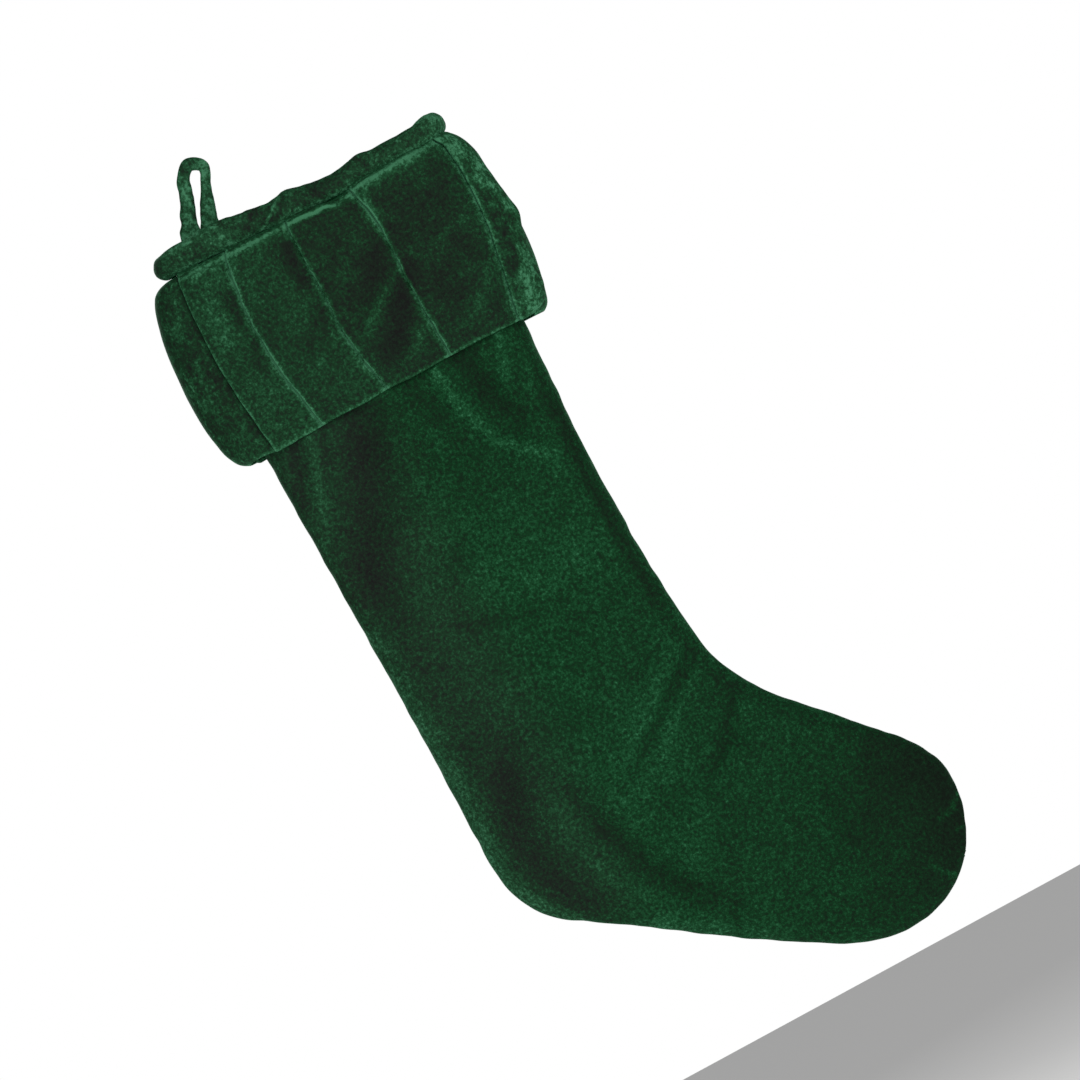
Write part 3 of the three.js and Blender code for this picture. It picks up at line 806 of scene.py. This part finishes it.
MOUTH = (0.1033, 0.0805, 0.0150, 3.2)  # centre x, half width, half depth, power
BAND_TOP = ((0.017, -0.0080), (0.030, -0.0060), (0.055, -0.0056), (0.075, -0.0078), (0.093, -0.0098),
            (0.098, -0.0082), (0.106, -0.0100), (0.135, -0.0108), (0.141, -0.0096), (0.150, -0.0104),
            (0.172, -0.0098), (0.182, -0.0080), (0.190, -0.0085))
BAND_FOOT = ((0.017, -0.0200), (0.050, -0.0215), (0.085, -0.0235), (0.120, -0.0245), (0.160, -0.0235),
             (0.190, -0.0215))
BAND_STEPS = 170
BAND_SIDES = 24
BAND_HALF_THICK = 0.0058
# Each fold of the band's front: its route in x and z, its half width, its rise and its lightness, painted
# shade in hollows and painted highlights on ridges and along the upper edge.
BAND_FOLDS = (
    (((0.060, -0.0070), (0.044, -0.0075), (0.026, -0.0085), (0.018, -0.0110)), 0.0022, 0.0004, 1.6),
    (((0.094, -0.0095), (0.086, -0.0165), (0.076, -0.0230)), 0.0010, 0.0009, 1.3),
    (((0.097, -0.0100), (0.091, -0.0175), (0.084, -0.0240)), 0.0012, -0.0008, -1.2),
    (((0.101, -0.0095), (0.098, -0.0160), (0.093, -0.0230)), 0.0010, 0.0006, 0.9),
    (((0.082, -0.0085), (0.074, -0.0150), (0.066, -0.0215)), 0.0014, -0.0006, -0.9),
    (((0.108, -0.0110), (0.112, -0.0180), (0.118, -0.0240)), 0.0012, -0.0006, -0.8),
    (((0.046, -0.0110), (0.054, -0.0150), (0.066, -0.0160)), 0.0022, 0.0005, 0.9),
    (((0.138, -0.0105), (0.142, -0.0160), (0.141, -0.0220)), 0.0013, -0.0005, -0.7),
    (((0.160, -0.0110), (0.157, -0.0170), (0.150, -0.0220)), 0.0014, 0.0004, 0.5),
    (((0.172, -0.0105), (0.182, -0.0090), (0.188, -0.0130), (0.187, -0.0190)), 0.0026, 0.0004, 1.5),
)


def make_band(velvet):
    centre, half_width, half_depth, power = MOUTH
    x, y = oval(half_width, half_depth, power, even_angles(half_width, half_depth, power, BAND_STEPS))
    path = np.stack((centre + x, y), axis=1)
    tangent = np.roll(path, -1, axis=0) - np.roll(path, 1, axis=0)
    tangent /= np.linalg.norm(tangent, axis=1)[:, None]
    outward = np.stack((tangent[:, 1], -tangent[:, 0]), axis=1)
    around = np.linspace(0, 2 * np.pi, BAND_SIDES, endpoint=False)
    top, foot = curve_through(BAND_TOP)(path[:, 0]), curve_through(BAND_FOOT)(path[:, 0])
    middle, half_high = (top + foot) / 2, (top - foot) / 2
    points = np.empty((len(path), BAND_SIDES, 3))
    out = BAND_HALF_THICK * np.cos(around)
    points[..., 0] = path[:, None, 0] + outward[:, None, 0] * out
    points[..., 1] = path[:, None, 1] + outward[:, None, 1] * out
    points[..., 2] = middle[:, None] + half_high[:, None] * np.sin(around)
    slant = points.copy()
    slant[..., 0] += 0.8 * points[..., 2]
    wrinkle = noise(slant * (1.0, 1.0, 0.35), 0.006) + 0.6 * noise(slant * (1.0, 1.0, 0.4), 0.0032)
    gathered = 0.5 + 0.5 * np.exp(-(((points[..., 0] - 0.085) / 0.018) ** 2))
    core = np.stack((path[:, 0], path[:, 1], middle), axis=1)[:, None]
    points = core + (points - core) * (1 + 0.10 * wrinkle * gathered)[..., None]
    # Painted light and shade following the wrinkles, with random pile tone.
    light = 0.25 + 0.45 * wrinkle * gathered + 0.3 * noise(points, 0.012)
    # Painted highlight on the toe-side end of the band.
    light += 0.5 * smooth((points[..., 0] - 0.174) / 0.012)
    # Painted light along the band's foot in front, which lifts the shadow where the band meets the cuff.
    foot_line = np.exp(-(((points[..., 2] - foot[:, None]) / 0.0022) ** 2))
    foot_line = foot_line * smooth(-points[..., 1] / 0.004)
    ones = np.ones_like(light)
    # The whole band gets the painted sheen haze.
    values = {"tone_and_shade": light, "edge": 0.55 * foot_line, "crush": 0.55 * ones, "sheen_haze": ones}
    values = {name: np.concatenate((value, value[:1])) for name, value in values.items()}
    piece = grid_object("mouth_band", np.concatenate((points, points[:1])), True, values)
    weld = piece.modifiers.new("weld", "WELD")
    weld.merge_threshold = 1e-6
    apply_modifiers(piece)
    places = coordinates(piece.data) - ROW
    foot_at = curve_through(BAND_FOOT)(places[:, 0])
    held = smooth((foot_at + 0.0035 - places[:, 2]) / 0.002)
    settle(piece, held, pressure=3.0, growth=0.04, cap=0.0018, bending=0.3)
    subdivide(piece)
    places = coordinates(piece.data) - ROW
    # The folds' painted light and shade go on the front only.
    rise, light = add_folds(places, BAND_FOLDS)
    in_front = places[:, 1] < 0
    places[:, 1] -= rise * in_front
    piece.data.vertices.foreach_set("co", (places + ROW).ravel())
    write_values(piece.data, "tone_and_shade", read_values(piece.data, "tone_and_shade") + light * in_front)
    finish_piece(
        piece, velvet, "velvet",
        ("mouth_band_front", "mouth_band_back", "band_filler_front", "band_filler_back",
         "mouth_seam_front", "mouth_seam_back"),
        *BACK_TO_FRONT,
    )
    return piece


# ------------------------------------------------------------------ loop

LOOP_Y = 0.004
LOOP_STEPS = 110
LOOP_SIDES = 20
LOOP_HALF_THICK = 0.0023
LOOP_BEND_SPAN = 0.004  # a span above and below the hinge
# The folded velvet strip: x, z, its half width there and how far it leans to the front.
LOOP_ROUTE = (
    (0.0398, -0.0350, 0.0034, -0.0065), (0.0405, -0.0200, 0.0040, -0.0030), (0.0425, -0.0090, 0.0052, 0.0),
    (0.0440, -0.0030, 0.0053, 0.0), (0.0474, 0.0060, 0.0043, 0.0005), (0.0512, 0.0152, 0.0037, 0.0010),
    (0.0540, 0.0232, 0.0034, 0.0010), (0.0598, 0.0288, 0.0038, 0.0), (0.0664, 0.0242, 0.0032, -0.0010),
    (0.0628, 0.0150, 0.0028, -0.0010), (0.0588, 0.0058, 0.0040, -0.0005), (0.0551, -0.0030, 0.0050, 0.0),
    (0.0535, -0.0090, 0.0048, 0.0), (0.0522, -0.0200, 0.0038, -0.0030), (0.0518, -0.0350, 0.0034, -0.0065),
)


def spline(points, count):
    """Evenly spaced points on a smooth curve through points."""
    p = np.array(points, float)
    padded = np.vstack((2 * p[0] - p[1], p, 2 * p[-1] - p[-2]))
    fine = []
    for a, b, c, d in zip(padded[:-3], padded[1:-2], padded[2:-1], padded[3:]):
        t = np.linspace(0, 1, 24, endpoint=False)[:, None]
        squared, cubed = 2 * a - 5 * b + 4 * c - d, 3 * b - a - 3 * c + d
        fine.append(0.5 * (2 * b + (c - a) * t + squared * t**2 + cubed * t**3))
    fine = np.vstack((*fine, p[-1:]))
    length = np.concatenate(([0.0], np.cumsum(np.linalg.norm(np.diff(fine[:, :2], axis=0), axis=1))))
    even = np.linspace(0, length[-1], count)
    return np.stack([np.interp(even, length, fine[:, k]) for k in range(p.shape[1])], axis=1)


def make_loop(velvet):
    path = spline(LOOP_ROUTE, LOOP_STEPS)
    tangent = np.gradient(path[:, :2], axis=0)
    tangent /= np.linalg.norm(tangent, axis=1)[:, None]
    normal = np.stack((-tangent[:, 1], tangent[:, 0]), axis=1)
    around = np.linspace(0, 2 * np.pi, LOOP_SIDES, endpoint=False)
    c, s = np.cos(around), np.sin(around)
    wide = path[:, 2:3]
    across = np.sign(c) * np.abs(c) ** 0.8
    points = np.empty((len(path), len(around), 3))
    points[..., 0] = path[:, 0:1] + normal[:, 0:1] * wide * across
    thick = LOOP_HALF_THICK * s * (1 - 0.25 * np.exp(-((c / 0.25) ** 2)))
    points[..., 1] = LOOP_Y - path[:, 3:4] + thick
    points[..., 2] = path[:, 1:2] + normal[:, 1:2] * wide * across
    creases = noise(points, 0.0045) + 0.7 * noise(points, 0.0022)
    middle = np.stack((path[:, 0], LOOP_Y - path[:, 3], path[:, 1]), axis=1)[:, None]
    points = middle + (points - middle) * (1 + 0.13 * creases)[..., None]
    # Painted light on the bulges and painted shade in the creases.
    light = 1.25 + 1.0 * creases
    # Painted highlight down the loop's toe-side leg.
    light += 0.8 * ridge(points, ((0.066, 0.024), (0.0605, 0.008), (0.0575, -0.002)), 0.0025)
    # The whole loop gets the painted sheen haze.
    names = {"tone_and_shade": light, "edge": 0 * light, "crush": 0 * light + 0.9, "sheen_haze": 0 * light + 1.0}
    piece = grid_object("hanging_loop_cloth", points, True, names)
    subdivide(piece)
    pivot = frame["joints"][0]["pos_m"][2] - ROW[2]
    finish_piece(
        piece, velvet, "velvet", ("hanging_loop", "loop_end_heel_side", "loop_end_toe_side", "loop_tack"),
        ("loop", "back"), np.array((0, 0, pivot + LOOP_BEND_SPAN)), np.array((0, 0, pivot - LOOP_BEND_SPAN)),
    )
    return piece


# ------------------------------------------------------------------ lining

def make_lining(satin):
    points = sock_rows(LINING_ROWS, LINING_SIDES, 0.010, 0.0060, last=0.7)
    middle = points[0].mean(axis=0)
    reach = np.abs(points[0] - middle).max(axis=0)
    for row, share in enumerate((1.0, 0.55, 0.35, 0.20, 0.10)):  # the upper edge is sewn into the band
        wider = 1 + share * (MOUTH[1] / reach[0] - 1)
        points[row, :, 0] = middle[0] + (points[row, :, 0] - middle[0]) * wider
        points[row, :, 0] += share * (MOUTH[0] - middle[0])
        points[row, :, 1] *= 1 + share * (MOUTH[2] / reach[1] - 1)
    points[0, :, 2] = -0.0150
    points[1, :, 2] = -0.0260
    piece = grid_object("stocking_lining", points, True)
    zip_end(piece, LINING_SIDES)
    thicken(piece, LINING_THICK)
    subdivide(piece)
    finish_piece(piece, satin, "lining", ("lining_front", "lining_back"), *BACK_TO_FRONT)
    return piece


# ------------------------------------------------------------------ materials

def node(tree, kind, **values):
    made = tree.nodes.new(kind)
    for key, value in values.items():
        if key in made.inputs:
            made.inputs[key].default_value = value
        else:
            setattr(made, key, value)
    return made


def attribute(tree, name, output="Fac"):
    return node(tree, "ShaderNodeAttribute", attribute_name=name).outputs[output]


def calculate(tree, operation, *values):
    made = node(tree, "ShaderNodeMath", operation=operation)
    for socket, value in zip(made.inputs, values):
        if isinstance(value, (int, float)):
            socket.default_value = value
        else:
            tree.links.new(value, socket)
    return made.outputs[0]


# Velvet colours from darkest to lightest, picked by painted light and shade with random pile tone: the dark
# end stands for painted shade, the light end for painted highlight.
VELVET_SHADES = (
    (0.00, (0.0046, 0.0100, 0.0056)),
    (0.33, (0.0052, 0.0220, 0.0088)),
    (0.55, (0.0040, 0.0400, 0.0118)),
    (0.80, (0.0110, 0.0830, 0.0290)),
    (1.15, (0.0580, 0.2350, 0.1150)),
)
VELVET_TOP = VELVET_SHADES[-1][0]
VELVET_SURFACE = {
    "Roughness": 0.85,
    "Specular IOR Level": 0.09,
    "Sheen Weight": 0.20,
    "Sheen Roughness": 0.30,
    "Sheen Tint": (0.09, 0.75, 0.30, 1),
}
SHEEN_GREY = (0.0058, 0.0, 0.0048)  # painted sheen: a grey haze added to the colour


def color_input(mix, name):
    return next(socket for socket in mix.inputs if socket.name == name and socket.type == "RGBA")


def color_output(mix):
    return next(socket for socket in mix.outputs if socket.type == "RGBA")


def make_velvet():
    material = bpy.data.materials.new("green_velvet")
    material.use_nodes = True
    tree = material.node_tree
    shader = tree.nodes["Principled BSDF"]
    rest = attribute(tree, "rest", "Vector")
    # Painted light and shade with random pile tone, painted highlights along folds, rims and hem, the depth
    # of the random mottle, and the painted sheen haze.
    tone_and_shade, edge, crush, sheen_haze = (attribute(tree, name) for name in ("tone_and_shade", "edge", "crush", "sheen_haze"))
    pile = node(tree, "ShaderNodeTexNoise", Scale=560.0, Detail=3.0, Roughness=0.75)
    marks = node(tree, "ShaderNodeTexNoise", Scale=210.0, Detail=4.0, Roughness=0.65, Distortion=0.8)
    streaks = node(tree, "ShaderNodeMapping")
    streaks.inputs["Scale"].default_value = (1.0, 1.0, 0.6)
    tree.links.new(rest, pile.inputs["Vector"])
    tree.links.new(rest, streaks.inputs["Vector"])
    tree.links.new(streaks.outputs[0], marks.inputs["Vector"])
    speck = calculate(tree, "MULTIPLY", calculate(tree, "SUBTRACT", pile.outputs["Fac"], 0.5), 1.70)
    patch = calculate(tree, "SUBTRACT", marks.outputs["Fac"], 0.5)
    depth = calculate(tree, "MULTIPLY_ADD", crush, 1.6, 0.10)
    patch = calculate(tree, "MULTIPLY", patch, depth)
    # The level mixes painted light and shade and painted highlights with random pile specks and mottle.
    level = calculate(tree, "MULTIPLY_ADD", tone_and_shade, 0.20, 0.545)
    level = calculate(tree, "MULTIPLY_ADD", edge, 0.75, level)
    level = calculate(tree, "ADD", level, calculate(tree, "ADD", speck, patch))
    level = calculate(tree, "DIVIDE", level, VELVET_TOP)
    ramp = node(tree, "ShaderNodeValToRGB")
    elements = ramp.color_ramp.elements
    for index, (position, color) in enumerate(VELVET_SHADES):
        element = elements[index] if index < 2 else elements.new(position)
        element.position = position / VELVET_TOP
        element.color = (*color, 1)
    tree.links.new(level, ramp.inputs["Fac"])
    # Painted sheen: grey added where the sheen haze is painted.
    greyer = node(tree, "ShaderNodeMix", data_type="RGBA", blend_type="ADD")
    color_input(greyer, "B").default_value = (*SHEEN_GREY, 1)
    tree.links.new(sheen_haze, greyer.inputs["Factor"])
    tree.links.new(ramp.outputs["Color"], color_input(greyer, "A"))
    tree.links.new(color_output(greyer), shader.inputs["Base Color"])
    for name, value in VELVET_SURFACE.items():
        shader.inputs[name].default_value = value
    bump = node(tree, "ShaderNodeBump", Strength=0.5, Distance=0.0004)
    tree.links.new(pile.outputs["Fac"], bump.inputs["Height"])
    tree.links.new(bump.outputs["Normal"], shader.inputs["Normal"])
    return material


def make_satin():
    material = bpy.data.materials.new("green_lining")
    material.use_nodes = True
    tree = material.node_tree
    shader = tree.nodes["Principled BSDF"]
    weave = node(tree, "ShaderNodeTexNoise", Scale=1500.0, Detail=2.0)
    tree.links.new(attribute(tree, "rest", "Vector"), weave.inputs["Vector"])
    ramp = node(tree, "ShaderNodeValToRGB")
    ramp.color_ramp.elements[0].color = (0.006, 0.035, 0.014, 1)
    ramp.color_ramp.elements[1].color = (0.014, 0.075, 0.032, 1)
    tree.links.new(weave.outputs["Fac"], ramp.inputs["Fac"])
    tree.links.new(ramp.outputs["Color"], shader.inputs["Base Color"])
    shader.inputs["Roughness"].default_value = 0.5
    return material


# ------------------------------------------------------------------ camera, light and floor

VIEW_CENTRE = np.array((0.1286, 0.0, -0.2341)) + ROW
VIEW_WIDTH = 0.570
VIEW_DISTANCE = 3.2
ROLL = math.radians(28.5)
LIGHTS = (  # name, place, size and power
    ("key", (1.1, -2.2, 0.6), 1.4, 32.0),
    ("fill", (-1.5, -2.0, -0.3), 1.6, 12.0),
    ("back_key", (-1.1, 2.2, 0.6), 1.4, 32.0),
    ("back_fill", (1.5, 2.0, -0.3), 1.6, 12.0),
)
WORLD_STRENGTH = 0.15
FLOOR_SIZE = 9.0
FLOOR_HEIGHT = -0.95
FLOOR_GLOW = 0.22


def make_camera():
    data = bpy.data.cameras.new("camera")
    data.sensor_width = 36.0
    data.lens = data.sensor_width * VIEW_DISTANCE / VIEW_WIDTH
    camera = bpy.data.objects.new("camera", data)
    bpy.context.scene.collection.objects.link(camera)
    camera.location = VIEW_CENTRE - np.array((0, VIEW_DISTANCE, 0))
    camera.rotation_mode = "QUATERNION"
    upright = Vector((0, 1, 0)).to_track_quat("-Z", "Y")
    camera.rotation_quaternion = upright @ Quaternion((0, 0, 1), -ROLL)
    bpy.context.scene.camera = camera


def area_light(name, place, size, power):
    data = bpy.data.lights.new(name, "AREA")
    data.shape = "SQUARE"
    data.size = size
    data.energy = power
    light = bpy.data.objects.new(name, data)
    bpy.context.scene.collection.objects.link(light)
    light.location = place
    light.rotation_mode = "QUATERNION"
    light.rotation_quaternion = (Vector(VIEW_CENTRE) - Vector(place)).to_track_quat("-Z", "Y")


def make_studio():
    for light in LIGHTS:
        area_light(*light)
    world = bpy.data.worlds.new("white")
    bpy.context.scene.world = world
    world.use_nodes = True
    tree = world.node_tree
    back = tree.nodes["Background"]
    back.inputs["Color"].default_value = (1, 1, 1, 1)
    back.inputs["Strength"].default_value = WORLD_STRENGTH
    seen = node(tree, "ShaderNodeBackground", Color=(1, 1, 1, 1), Strength=1.0)
    path = node(tree, "ShaderNodeLightPath")
    mix = node(tree, "ShaderNodeMixShader")
    tree.links.new(path.outputs["Is Camera Ray"], mix.inputs[0])
    tree.links.new(back.outputs[0], mix.inputs[1])
    tree.links.new(seen.outputs[0], mix.inputs[2])
    tree.links.new(mix.outputs[0], tree.nodes["World Output"].inputs[0])
    bpy.context.scene.view_settings.view_transform = "Standard"
    bpy.ops.mesh.primitive_plane_add(size=FLOOR_SIZE, location=(VIEW_CENTRE[0], 0, FLOOR_HEIGHT))
    floor = bpy.context.object
    floor.name = "studio_floor"
    pale = bpy.data.materials.new("pale_floor")
    pale.use_nodes = True
    surface = pale.node_tree.nodes["Principled BSDF"].inputs
    surface["Base Color"].default_value = (0.85, 0.85, 0.84, 1)
    surface["Emission Color"].default_value = (1, 1, 1, 1)
    surface["Emission Strength"].default_value = FLOOR_GLOW
    floor.data.materials.append(pale)


# ------------------------------------------------------------------ assembly

make_camera()
make_studio()
VELVET = make_velvet()
SATIN = make_satin()
make_leg(VELVET)
make_cuff_back(VELVET)
make_cuff_front(VELVET)
make_cuff_lining(SATIN, "back")
make_cuff_lining(SATIN, "front")
make_band(VELVET)
make_loop(VELVET)
make_lining(SATIN)
